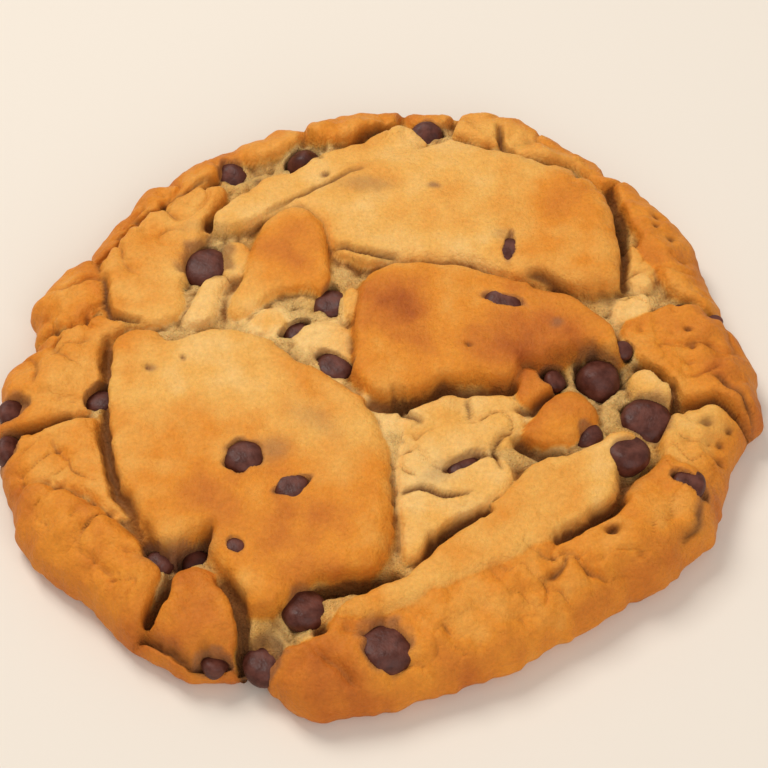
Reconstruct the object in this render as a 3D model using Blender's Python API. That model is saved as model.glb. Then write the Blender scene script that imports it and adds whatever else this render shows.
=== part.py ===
"""A large bakery chocolate chip cookie: cracked dough with chocolate chips set into it.

Run with: blender --background --python part.py
Z is up, the cookie rests on its flat base at z = 0, and it is centred on the origin.
The tables and the height functions are in millimetres; the meshes are in metres.
"""

import math
from dataclasses import dataclass

import bmesh
import bpy
import numpy as np
from mathutils import Euler, Vector

MM = 0.001

# Distance from the centre to the rim, every 10 degrees anticlockwise from +X.
RIM_RADII = [
    57.0, 55.5, 54.5, 56.0, 56.0, 56.0, 57.0, 58.0, 56.0, 55.0, 54.5, 54.0,
    53.0, 53.0, 53.0, 53.0, 55.5, 54.0, 57.5, 58.0, 58.0, 59.0, 57.0, 56.5,
    56.5, 53.5, 56.5, 54.5, 52.5, 51.5, 50.5, 51.0, 53.0, 55.0, 54.0, 55.0,
]
# Places where the rim is dented in (or bulges, when negative): bearing, half width and depth.
RIM_DENTS = [
    (48, 2.0, 1.4), (76, 2.0, 0.8), (104.5, 2.0, 1.6), (135, 3.0, -1.0), (153, 2.0, 1.2),
    (165, 2.5, -1.6), (173.5, 2.2, 2.2), (233, 4.0, -0.6), (250, 2.0, 1.4), (315, 2.5, 0.8),
    (354, 2.5, -1.5), (13, 2.0, 1.0),
]
BULGE_HEIGHT = 3.2  # where the side wall is widest
FOOT_INSET = 2.6  # how far the base lies inside the widest outline
# The side wall below that: how far in from the outline, and how high.
SIDE_RINGS = [(0.5, 0.5 * BULGE_HEIGHT), (FOOT_INSET, 0.0)]
SHOULDER = 7.5  # width of the rounded shoulder from the rim inwards
FLOOR_CENTRE = 11.1  # height of the crumb between the plates, at the centre
FLOOR_RIM = 5.8  # and at the rim
CRUMB_ROUGHNESS = 0.9
WOBBLE = 0.7  # how far noise shifts a plate's edge sideways
GROW = 0.4  # a plate's rounded edge starts this far outside its outline
EDGE_STEEPNESS = 2.0  # fall of a plate's flank for each mm outside its outline

GRID = 39  # cells across the dough's top
SEED = 7

CHIP_GAP = 0.3  # between a chip and its pocket in the dough
CHIP_SEGMENTS = 8
# Radius and height of a chip's rings from base to tip, for a chip 2 wide.
CHIP_PROFILE = [(0.70, -0.60), (0.98, -0.34), (1.0, -0.05), (0.80, 0.38), (0.42, 0.74)]
CHIP_BASE = -0.62
CHIP_TIP = 0.92


@dataclass
class Plate:
    """A raised piece of crust: its height at the middle, its slope in x and y, how wide its
    rounded edge is, and its outline."""

    name: str
    height: float
    slope: tuple
    edge: float
    corners: list


@dataclass
class Chip:
    """A chip: its place, width, how much stands proud of the dough, and its lean from upright."""

    x: float
    y: float
    width: float
    proud: float
    lean: float = 0
    heading: float = 0


PLATES = [
    Plate("crown", 13.9, (0.0, -0.07), 3.6, [
        (-22, 26), (-10, 35.5), (5, 43), (14, 44), (26, 39.5), (35.5, 33), (36.5, 23),
        (36, 13), (26, 14), (12, 17.5), (-6, 17.5), (-8, 23), (-10.5, 27), (-15, 29)]),
    Plate("brown_cap", 13.4, (0.1, 0.06), 1.8, [
        (-23.5, 7.5), (-22, 12.5), (-20.5, 19), (-18.5, 25.5), (-15, 28.5), (-11, 27.5),
        (-8.5, 23.5), (-8, 17.5), (-9, 13), (-14, 13.5), (-18, 10.5)]),
    Plate("tongue", 12.6, (0.0, -0.08), 1.6, [
        (-25.5, 26), (-24.5, 30), (-18, 35.5), (-10, 40), (-3, 44), (5, 46.5), (8, 42),
        (-9, 33.5), (-20, 26)]),
    Plate("dark_slab", 15.2, (0.02, -0.02), 1.7, [
        (-3, 14.5), (-3.5, 6), (-3.5, -1), (-3, -5), (-1, -8), (4, -6.5), (9, -5), (14, -4),
        (17, -5.5), (20, -4), (21, -1), (26, 0), (30, 2.5), (34, 1), (34, 3), (32, 5.5),
        (29, 9), (25, 11.5), (21, 13.5), (10, 16), (3, 16.5)]),
    Plate("lower_slab", 13.5, (0.0, 0.04), 2.8, [
        (-40.5, 1), (-40.5, -11), (-38.5, -21), (-35.5, -28.5), (-31.5, -33.5), (-29.5, -33.5),
        (-27.5, -30.5), (-25, -30), (-24.5, -33.5), (-20.5, -38.5), (-19, -41), (-16, -42),
        (-13.5, -40.5), (-12, -38), (-3, -36.5), (0.5, -35), (2, -26.5), (1, -20.5), (1, -14),
        (-4, -6.5), (-13, -0.5), (-20, 4.5), (-27, 4), (-31, 1.5), (-36, 5)]),
    Plate("upper_left", 11.6, (0.05, -0.05), 2.0, [
        (-43, 20), (-41, 23.5), (-37, 28.5), (-32, 32.5), (-28, 35), (-25, 35.5), (-25, 33),
        (-26.5, 30), (-27, 24), (-30, 21), (-31, 15), (-29.5, 10), (-33, 7), (-37, 7.5),
        (-41, 9.5), (-42.5, 13)]),
    Plate("nib", 12.2, (0.0, 0.08), 1.4, [
        (-29.5, 9.5), (-27.5, 14), (-25, 16), (-23.5, 15), (-24, 11.5), (-25.5, 8), (-28.5, 7)]),
    Plate("yellow_lump", 12.0, (0.0, 0.05), 1.6, [
        (-21, 7), (-18, 10), (-15, 9.5), (-13.5, 7), (-15, 4.5), (-18, 4.5)]),
    Plate("pale_dome", 12.2, (0.0, 0.1), 2.2, [
        (-13, 4), (-10.5, 7.5), (-6.5, 7.5), (-4, 5), (-4, 0), (-6.5, -1.5), (-10, 0)]),
    Plate("pale_block", 12.4, (0.0, 0.05), 1.4, [
        (4.5, -8), (10, -6), (16, -6), (20, -7.5), (21, -11), (20.5, -14), (18, -15.5),
        (15, -15.5), (11, -18.5), (7.5, -19), (5, -16), (2.5, -12)]),
    Plate("pale_middle", 11.6, (0.03, 0.03), 1.2, [
        (3, -13.5), (5, -17), (8, -20), (12, -19), (15.5, -17), (19, -18), (18.5, -21.5),
        (15, -25.5), (12, -28), (8, -30), (6, -33.5), (3.5, -33.5), (3, -25), (2.5, -19)]),
    Plate("strip", 11.8, (0.0, 0.05), 1.8, [
        (-7, -42.5), (4, -37.5), (8, -33), (14, -28.5), (19, -21.5), (22, -18), (28, -17),
        (36, -13), (37, -15), (34, -19), (33.5, -24), (28, -29), (20, -34), (10, -39),
        (0, -43), (-4, -44)]),
    Plate("nugget", 13.4, (0.0, 0.08), 3.2, [
        (25, -7.5), (28, -6), (31, -7.5), (32, -10), (29.5, -13), (27, -15), (23, -15),
        (20.5, -13), (22.5, -10)]),
    Plate("finger", 13.2, (-0.05, 0.05), 1.9, [
        (20.5, -2), (24, -2.5), (25.5, -5), (24.5, -7.5), (22, -9.5), (20.5, -8)]),
    Plate("chunk_upper", 10.4, (0.0, 0.0), 1.2, [
        (37, 16.5), (36.8, 22), (38.5, 24), (41, 20.5), (42, 17), (40, 14.5)]),
    Plate("chunk_lower", 10.6, (0.0, 0.0), 1.2, [
        (35, 8), (36, 13), (39.5, 13.5), (41.5, 11.5), (38.5, 8.5)]),
    Plate("wedge", 10.4, (0.0, 0.04), 2.4, [
        (-29.5, -36), (-25, -35), (-22, -39), (-20.5, -42), (-20.5, -47), (-24, -47.5),
        (-27.5, -48), (-31, -46), (-32, -43), (-30.5, -39)]),
    Plate("west_top", 9.8, (0.05, 0.0), 2.0, [
        (-62, 24), (-60, 9), (-51, 9.5), (-46, 9), (-43, 11.5), (-42.5, 17), (-44, 21),
        (-48, 26)]),
    Plate("west_upper", 10.2, (0.05, 0.0), 2.0, [
        (-64, 7), (-51, 7.5), (-46, 8.5), (-42.5, 10.5), (-38, 8.5), (-41, 5), (-41.5, -4),
        (-43, -7.5), (-46, -8.5), (-50, -9.5), (-64, -9)]),
    Plate("west_middle", 10.2, (0.05, 0.0), 1.8, [
        (-64, -10.5), (-50, -11), (-46, -9.5), (-42, -9), (-41, -14), (-39.5, -21),
        (-36.5, -27.5), (-38.5, -27), (-41.5, -24.5), (-45.5, -21.5), (-49, -19.5), (-64, -19)]),
    Plate("west_lower", 10.6, (0.03, 0.04), 2.4, [
        (-64, -20), (-49, -20), (-45.5, -22.5), (-41.5, -25.5), (-37.5, -28.5), (-34.5, -32.5),
        (-32, -35.5), (-33, -39), (-33.5, -44), (-38, -46), (-42, -60), (-60, -44)]),
    Plate("south_west", 8.6, (0.0, 0.05), 1.6, [
        (-40, -46.5), (-33.5, -45.5), (-31, -47), (-27, -49), (-22, -48.5), (-20.5, -48.5),
        (-20, -64), (-40, -64)]),
    Plate("south_rim", 10.6, (0.0, 0.06), 2.4, [
        (-17, -66), (-17, -51.5), (-14, -47.5), (-10.5, -47), (-8, -44.5), (-5, -40.5),
        (7, -36), (20, -30), (26, -30.5), (30, -28.5), (33.5, -25.5), (36, -22), (39, -19.5),
        (41, -16), (44, -18), (50, -21), (66, -22), (60, -60), (0, -70)]),
    Plate("east_lower", 10.2, (-0.03, 0.0), 1.8, [
        (41, -12), (43, -8.5), (46, -7.5), (50, -6), (53, -9), (64, -12), (64, -23), (50, -23),
        (44, -20), (40, -16)]),
    Plate("east_upper", 10.8, (-0.04, 0.0), 2.0, [
        (36, 3), (36.5, 7.5), (40, 10), (45, 11.5), (50, 10.5), (62, 11), (66, -9), (56, -9),
        (53, -6.5), (50, -5), (46, -6), (44, -4.5), (42, -1.5), (38.5, 1)]),
    Plate("north_east", 10.6, (-0.05, 0.0), 2.0, [
        (36.5, 38), (46, 42), (64, 20), (58, 11.5), (51.5, 12), (48, 13.5), (44.5, 16),
        (42, 18.5), (40, 22), (41, 25), (39, 28), (38, 33)]),
    Plate("back_right", 10.8, (0.0, -0.05), 1.8, [
        (19.5, 44), (20.5, 46), (26, 58), (42, 48), (36.5, 36.5), (34.5, 37.5), (31, 40.5),
        (25, 41), (21.5, 42)]),
    Plate("knob", 10.8, (0.0, -0.04), 1.8, [
        (12, 47), (13.5, 51), (14, 62), (24, 62), (24.5, 48), (20, 45.5), (19, 44), (15, 45),
        (12, 46)]),
    Plate("back_left", 10.4, (0.0, -0.06), 1.6, [
        (-13, 48), (-12, 62), (2.5, 62), (2.5, 50.5), (-1, 49), (-4, 47), (-7, 45.5), (-10, 45)]),
    Plate("back_top", 9.4, (0.0, -0.05), 1.4, [(4, 50.5), (12, 50.5), (11, 62), (4, 62)]),
    Plate("back_band", 9.6, (0.03, -0.03), 1.6, [
        (-52, 27), (-45, 22.5), (-40.5, 26), (-37.5, 29.5), (-34, 31.5), (-29.5, 33.5),
        (-27, 38), (-24, 43), (-20, 42.5), (-15, 44.5), (-13, 47), (-14, 62), (-52, 52)]),
]

CHIPS = [
    Chip(-27.0, 19.8, 8.4, 0.9, 180, 0),
    Chip(-24.0, 40.3, 6.2, 1.2, 150, 60),
    Chip(-12.3, 42.4, 6.2, 2.0, 20, 250),
    Chip(7.4, 48.8, 6.0, 1.2, 150, 90),
    Chip(19.6, 19.8, 5.6, 0.9, 180, 0),
    Chip(18.4, 9.2, 7.0, 0.9, 180, 0),
    Chip(-7.6, 11.0, 6.0, 0.9, 175, 0),
    Chip(-12.8, 6.6, 4.8, 0.9, 180, 0),
    Chip(-7.0, -0.4, 6.6, 0.9, 175, 320),
    Chip(-19.8, -18.5, 6.6, 0.9, 180, 0),
    Chip(-12.8, -23.4, 5.8, 0.9, 180, 0),
    Chip(-20.6, -33.4, 3.6, 0.9, 180, 0),
    Chip(-31.8, -33.2, 4.8, 0.9, 180, 320),
    Chip(-26.4, -32.4, 4.8, 0.9, 170, 90),
    Chip(-55.2, -6.0, 5.4, 0.9, 150, 180),
    Chip(-55.2, -12.3, 5.6, 0.9, 140, 180),
    Chip(-42.0, -4.8, 5.0, 0.9, 180, 60),
    Chip(-10.8, -41.6, 7.4, 1.2, 170, 250),
    Chip(-16.3, -48.0, 7.0, 0.9, 180, 0),
    Chip(0.6, -47.6, 8.8, 0.9, 170, 280),
    Chip(32.2, -2.2, 8.0, 1.8, 40, 200),
    Chip(25.7, -3.2, 4.0, 1.6, 150, 180),
    Chip(39.3, -8.8, 8.6, 1.6, 170, 90),
    Chip(35.9, -16.5, 7.4, 1.9, 165, 240),
    Chip(30.2, -12.4, 5.6, 0.9, 170, 20),
    Chip(44.6, -21.2, 5.8, 0.9, 180, 330),
    Chip(46.0, 12.2, 4.4, 0.9, 180, 0),
    Chip(51.0, 10.4, 2.8, 0.9, 180, 0),
    Chip(12.0, -18.2, 6.4, 0.9, 180, 30),
    Chip(-23.4, -48.2, 4.4, 0.6, 150, 245),
    Chip(36.3, 2.7, 3.4, 0.9, 160, 120),
]


def lattice_noise(x, y, size, seed):
    """Smooth noise from -1 to 1 whose features are about size mm wide."""
    table = np.random.default_rng(SEED + seed).uniform(-1, 1, (64, 64))
    u = (0.8 * x + 0.6 * y) / size + 32
    v = (0.8 * y - 0.6 * x) / size + 32
    column = np.floor(u).astype(int)
    row = np.floor(v).astype(int)
    s = u - column
    t = v - row
    s = s * s * (3 - 2 * s)
    t = t * t * (3 - 2 * t)

    def value(i, j):
        return table[(row + j) % 64, (column + i) % 64]

    low = value(0, 0) * (1 - s) + value(1, 0) * s
    high = value(0, 1) * (1 - s) + value(1, 1) * s
    return low * (1 - t) + high * t


def rim_radius(angle):
    """The rim's radius at an angle: a smooth curve through RIM_RADII, less its dents."""
    radii = np.array(RIM_RADII)
    dent = np.zeros(np.shape(angle))
    for bearing, half_width, depth in RIM_DENTS:
        away = np.remainder(angle - math.radians(bearing) + math.pi, 2 * math.pi) - math.pi
        dent = dent + depth * np.exp(-((away * radii.mean() / half_width) ** 2))
    count = len(radii)
    place = (np.asarray(angle) / (2 * math.pi) * count) % count
    index = np.floor(place).astype(int)
    t = place - index
    before, here, after, beyond = (radii[(index + k) % count] for k in (-1, 0, 1, 2))
    bend = 2 * before - 5 * here + 4 * after - beyond
    twist = -before + 3 * here - 3 * after + beyond
    return here + 0.5 * t * ((after - before) + t * (bend + t * twist)) - dent


def rounded_corners(corners, rounds=2):
    """The closed outline with its corners cut off, rounds times over."""
    points = np.array(corners, float)
    for _ in range(rounds):
        following = np.roll(points, -1, axis=0)
        near = 0.75 * points + 0.25 * following
        far = 0.25 * points + 0.75 * following
        points = np.stack([near, far], axis=1).reshape(-1, 2)
    return points


def depth_inside(x, y, outline):
    """Distance from the outline, positive inside it."""
    nearest = np.full(x.shape, np.inf)
    inside = np.zeros(x.shape, bool)
    for (ax, ay), (bx, by) in zip(outline, np.roll(outline, -1, axis=0)):
        ex, ey = bx - ax, by - ay
        along = np.clip(((x - ax) * ex + (y - ay) * ey) / (ex * ex + ey * ey), 0, 1)
        gap = np.hypot(x - ax - along * ex, y - ay - along * ey)
        nearest = np.minimum(nearest, gap)
        if ay != by:
            crosses = (ay > y) != (by > y)
            inside ^= crosses & (x < ax + (y - ay) * ex / ey)
    return np.where(inside, nearest, -nearest)


def smooth_max(a, b, blend=0.5):
    """The larger of two heights, with the seam rounded over blend mm."""
    return 0.5 * (a + b + np.sqrt((a - b) ** 2 + blend * blend))


def plate_height(plate, x, y):
    """The top of one plate, falling off round its outline."""
    outline = rounded_corners(plate.corners)
    centre = outline.mean(axis=0)
    depth = depth_inside(x, y, outline) + GROW
    level = plate.height + plate.slope[0] * (x - centre[0]) + plate.slope[1] * (y - centre[1])
    inner = np.clip(1 - depth / plate.edge, 0, 1)
    drop = plate.edge * (1 - np.sqrt(1 - inner * inner))
    outer = np.clip(-depth, 0, None) * EDGE_STEEPNESS
    return level - drop - outer


def dough_height(x, y):
    """The height of the dough's top over each point."""
    x = np.asarray(x, float)
    y = np.asarray(y, float)
    radius = np.hypot(x, y)
    rim = rim_radius(np.arctan2(y, x))
    shifted_x = x + WOBBLE * lattice_noise(x, y, 6, 1)
    shifted_y = y + WOBBLE * lattice_noise(x, y, 6, 2)
    across = np.clip(radius / rim, 0, 1)
    height = FLOOR_CENTRE + (FLOOR_RIM - FLOOR_CENTRE) * across**2
    height = height + CRUMB_ROUGHNESS * lattice_noise(x, y, 4, 3)
    for plate in PLATES:
        height = smooth_max(height, plate_height(plate, shifted_x, shifted_y))
    inset = np.clip((rim - radius) / SHOULDER, 0, 1)
    shoulder = np.sqrt(1 - (1 - inset) ** 2)
    return BULGE_HEIGHT + (height - BULGE_HEIGHT) * shoulder


def disc_grid(cells):
    """Points of a square grid bent onto the unit disc: radius and angle arrays."""
    steps = np.linspace(-1, 1, cells + 1)
    a, b = np.meshgrid(steps, steps)
    wide = np.abs(a) > np.abs(b)
    safe_a = np.where(a == 0, 1, a)
    safe_b = np.where(b == 0, 1, b)
    radius = np.where(wide, a, b)
    angle = np.where(wide, math.pi / 4 * b / safe_a, math.pi / 2 - math.pi / 4 * a / safe_b)
    return radius, angle


def border_indices(cells):
    """The grid's border points in order, anticlockwise."""
    side = cells + 1
    bottom = [i for i in range(cells)]
    right = [i * side + cells for i in range(cells)]
    top = [cells * side + i for i in range(cells, 0, -1)]
    left = [i * side for i in range(cells, 0, -1)]
    return bottom + right + top + left


def dough_mesh():
    """The dough as one closed solid: its top, its bulging side and its flat base."""
    radius, angle = disc_grid(GRID)
    radial = radius * rim_radius(np.where(radius < 0, angle + math.pi, angle))
    x = (radial * np.cos(angle)).ravel()
    y = (radial * np.sin(angle)).ravel()
    z = dough_height(x, y)
    border = border_indices(GRID)
    z[border] = BULGE_HEIGHT
    mesh = bmesh.new()
    top = [mesh.verts.new(Vector(point) * MM) for point in zip(x, y, z)]
    side = GRID + 1
    for row in range(GRID):
        for column in range(GRID):
            corner = row * side + column
            mesh.faces.new([top[corner], top[corner + 1], top[corner + side + 1], top[corner + side]])
    ring = [top[i] for i in border]
    for inset, height in SIDE_RINGS:
        below = []
        for i in border:
            reach = math.hypot(x[i], y[i])
            scale = (reach - inset) / reach
            below.append(mesh.verts.new(Vector((x[i] * scale, y[i] * scale, height)) * MM))
        for i in range(len(ring)):
            j = (i + 1) % len(ring)
            mesh.faces.new([ring[j], ring[i], below[i], below[j]])
        ring = below
    middle = mesh.verts.new((0, 0, 0))
    for i in range(len(ring)):
        mesh.faces.new([ring[(i + 1) % len(ring)], ring[i], middle])
    return mesh


def chip_rings():
    """The corners of a chip 2 wide, ring by ring from base to tip."""
    turns = [2 * math.pi * step / CHIP_SEGMENTS for step in range(CHIP_SEGMENTS)]
    return [
        [Vector((radius * math.cos(turn), radius * math.sin(turn), height)) for turn in turns]
        for radius, height in CHIP_PROFILE
    ]


def chip_mesh(radius):
    """A chip as a turned drop: a rounded base drawn up into a tip."""
    mesh = bmesh.new()
    base = mesh.verts.new(Vector((0, 0, CHIP_BASE)) * radius * MM)
    tip = mesh.verts.new(Vector((0, 0, CHIP_TIP)) * radius * MM)
    rings = [[mesh.verts.new(corner * radius * MM) for corner in ring] for ring in chip_rings()]
    for step in range(CHIP_SEGMENTS):
        after = (step + 1) % CHIP_SEGMENTS
        mesh.faces.new([base, rings[0][after], rings[0][step]])
        for low, high in zip(rings, rings[1:]):
            mesh.faces.new([low[step], low[after], high[after], high[step]])
        mesh.faces.new([rings[-1][step], rings[-1][after], tip])
    return mesh


def add_object(name, mesh, material=None):
    """Puts a bmesh into the scene as a named object."""
    data = bpy.data.meshes.new(name)
    mesh.to_mesh(data)
    mesh.free()
    if material:
        data.materials.append(material)
    thing = bpy.data.objects.new(name, data)
    bpy.context.scene.collection.objects.link(thing)
    return thing


def chip_reach_up(chip, turn):
    """How far the leaning chip reaches above its own centre, in mm."""
    corners = [Vector((0, 0, CHIP_BASE)), Vector((0, 0, CHIP_TIP))] + sum(chip_rings(), [])
    return max((turn @ corner).z for corner in corners) * chip.width / 2


def place_chip(thing, chip):
    """Leans the chip toward its heading and sinks it until only its proud part shows."""
    lean = Euler((0, math.radians(chip.lean), math.radians(chip.heading)))
    reach = chip_reach_up(chip, lean.to_matrix())
    surface = float(dough_height(np.array([chip.x]), np.array([chip.y]))[0])
    thing.rotation_euler = lean
    thing.location = Vector((chip.x, chip.y, surface + chip.proud - reach)) * MM


def make_material(name, color, roughness):
    material = bpy.data.materials.new(name)
    material.use_nodes = True
    shader = material.node_tree.nodes["Principled BSDF"]
    shader.inputs["Base Color"].default_value = (*color, 1)
    shader.inputs["Roughness"].default_value = roughness
    shader.inputs["Metallic"].default_value = 0
    return material


def cut_pockets(dough, cutters):
    """Cuts every chip's pocket out of the dough."""
    pockets = bpy.data.collections.new("pockets")
    bpy.context.scene.collection.children.link(pockets)
    for cutter in cutters:
        bpy.context.scene.collection.objects.unlink(cutter)
        pockets.objects.link(cutter)
        cutter.hide_render = True
        cutter.display_type = "WIRE"
    cut = dough.modifiers.new("pockets", "BOOLEAN")
    cut.operation = "DIFFERENCE"
    cut.operand_type = "COLLECTION"
    cut.collection = pockets
    cut.solver = "EXACT"


def main():
    for thing in list(bpy.data.objects):
        bpy.data.objects.remove(thing)
    crust = make_material("baked_dough", (0.62, 0.30, 0.09), 0.75)
    chocolate = make_material("chocolate", (0.085, 0.035, 0.03), 0.45)
    dough = add_object("dough", dough_mesh(), crust)
    cutters = []
    for number, chip in enumerate(CHIPS, start=1):
        piece = add_object(f"chip_{number:02d}", chip_mesh(chip.width / 2), chocolate)
        place_chip(piece, chip)
        cutter = add_object(f"pocket_{number:02d}", chip_mesh(chip.width / 2 + CHIP_GAP))
        place_chip(cutter, chip)
        cutters.append(cutter)
    cut_pockets(dough, cutters)


main()
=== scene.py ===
"""The looks of a large bakery chocolate chip cookie: cracked golden dough with chips set into it.

The tables and the height functions are in millimetres; the meshes are in metres.
"""

import math
from dataclasses import dataclass

import bmesh
import bpy
import numpy as np
from mathutils import Euler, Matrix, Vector


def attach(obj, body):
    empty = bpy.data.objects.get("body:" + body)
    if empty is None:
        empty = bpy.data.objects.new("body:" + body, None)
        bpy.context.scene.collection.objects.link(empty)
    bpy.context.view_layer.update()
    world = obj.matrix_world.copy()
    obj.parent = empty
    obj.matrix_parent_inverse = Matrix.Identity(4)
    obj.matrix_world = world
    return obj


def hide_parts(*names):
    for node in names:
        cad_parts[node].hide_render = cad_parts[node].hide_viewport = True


MM = 0.001

# Distance from the centre to the rim, every 10 degrees anticlockwise from +X.
RIM_RADII = [
    57.0, 55.5, 54.5, 56.0, 56.0, 56.0, 57.0, 58.0, 56.0, 55.0, 54.5, 54.0,
    53.0, 53.0, 53.0, 53.0, 55.5, 54.0, 57.5, 58.0, 58.0, 59.0, 57.0, 56.5,
    56.5, 53.5, 56.5, 54.5, 52.5, 51.5, 50.5, 51.0, 53.0, 55.0, 54.0, 55.0,
]
# Places where the rim is dented in (or bulges, when negative): bearing, half width and depth.
RIM_DENTS = [
    (48, 2.0, 1.4), (76, 2.0, 0.8), (104.5, 2.0, 1.6), (135, 3.0, -1.0), (153, 2.0, 1.2),
    (165, 2.5, -1.6), (173.5, 2.2, 2.2), (233, 4.0, -0.6), (250, 2.0, 1.4), (315, 2.5, 0.8),
    (354, 2.5, -1.5), (13, 2.0, 1.0),
]
BULGE_HEIGHT = 3.2  # where the side wall is widest
FOOT_INSET = 2.6  # how far the base lies inside the widest outline
SIDE_STEPS = 7  # rings of faces from there to the foot
SIDE_ROUGHNESS = 0.45  # how far its dents and bumps reach
SHOULDER = 7.5  # width of the rounded shoulder from the rim inwards
RAGGED_BAND = (6.0, 17.0)  # the ragged crust fades out between these distances from the rim
FLOOR_CENTRE = 10.8  # height of the crumb between the plates, at the centre
FLOOR_RIM = 5.4  # and at the rim
CRUMB_BROWNING = 0.05  # of the crumb between the plates, from 0 to 1
RIM_BROWNING = 0.70  # and of the outermost crust
GROW = 0.4  # a plate's rounded edge starts this far outside its outline
PLATE_REACH = 6.0  # a plate's flank ends this far outside its outline
EDGE_STEEPNESS = 2.0  # fall of a plate's flank for each mm outside its outline
UNDERCUT = 0.32  # how far a steep flank leans out, for each mm above its surroundings

GRID = 290  # cells across the dough's top
RISE_REACH = GRID // 40  # cells each way over which a plate's rise is judged
CAVITY_REACH = GRID // 90  # and a crack's hollow
SEED = 7

# Layers of smooth noise: how far it reaches, how wide a feature is, and its seed.
WOBBLE = [(0.7, 6, 1), (0.32, 2.3, 11), (0.12, 0.9, 21)]
SWELLING = [(0.28, 9, 6), (0.16, 3.6, 7), (0.05, 1.4, 8), (0.03, 0.8, 9)]
RAGGEDNESS = [(0.75, 4.6, 41), (0.55, 2.2, 42), (0.14, 1.1, 44)]
RIPPLE = [(0.55, 3.4, 73), (0.25, 1.4, 74)]
BLOTCHES = [(0.10, 7, 31), (0.06, 2.5, 32)]
# Furrows in the crust: depth at the rim, share of it further in, how far apart, and seed.
FURROWS = [(1.0, 0.12, 5.5, 43), (0.55, 0.05, 3.0, 47)]
FURROW_WIDTH = 0.11  # as a share of how far apart they are
PALE_FURROW_DEPTH = 1.1  # of the finer furrows in the pale plates
CRACK_SHADE = 0.8  # how much shade is painted into a crack for each mm of depth, up to 1
# painted shade at the middle of a pit
PIT_SHADE = 0.8

CHIP_SEGMENTS = 9  # corners round a chip, before smoothing
# Radius and height of a chip's rings from base to tip, for a chip 2 wide.
CHIP_PROFILE = [(0.70, -0.60), (0.98, -0.34), (1.0, -0.05), (0.80, 0.38), (0.42, 0.74)]
CHIP_BASE = -0.62
CHIP_TIP = 0.92
CHIP_UNEVENNESS = 0.09  # how far a corner strays in or out, as a share of its distance

VIEW_DISTANCE = 0.4
VIEW_ELEVATION = math.radians(53.5)
VIEW_AIM = Vector((0.44, 4.4, 0.0)) * MM
LENS = 121.8


@dataclass
class Plate:
    """A raised piece of crust: its height at the middle, its slope in x and y, how wide its
    rounded edge is, how brown it is from 0 to 1, and its outline."""

    name: str
    height: float
    slope: tuple
    edge: float
    brown: float
    corners: list


@dataclass
class Chip:
    """A chip: its place, width, how much stands proud of the dough, its lean from upright and
    the heading that it leans to, in degrees, and the opening in the crust that shows it: half
    length, half width, turn and depth."""

    x: float
    y: float
    width: float
    proud: float
    lean: float
    heading: float
    window: tuple


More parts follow.
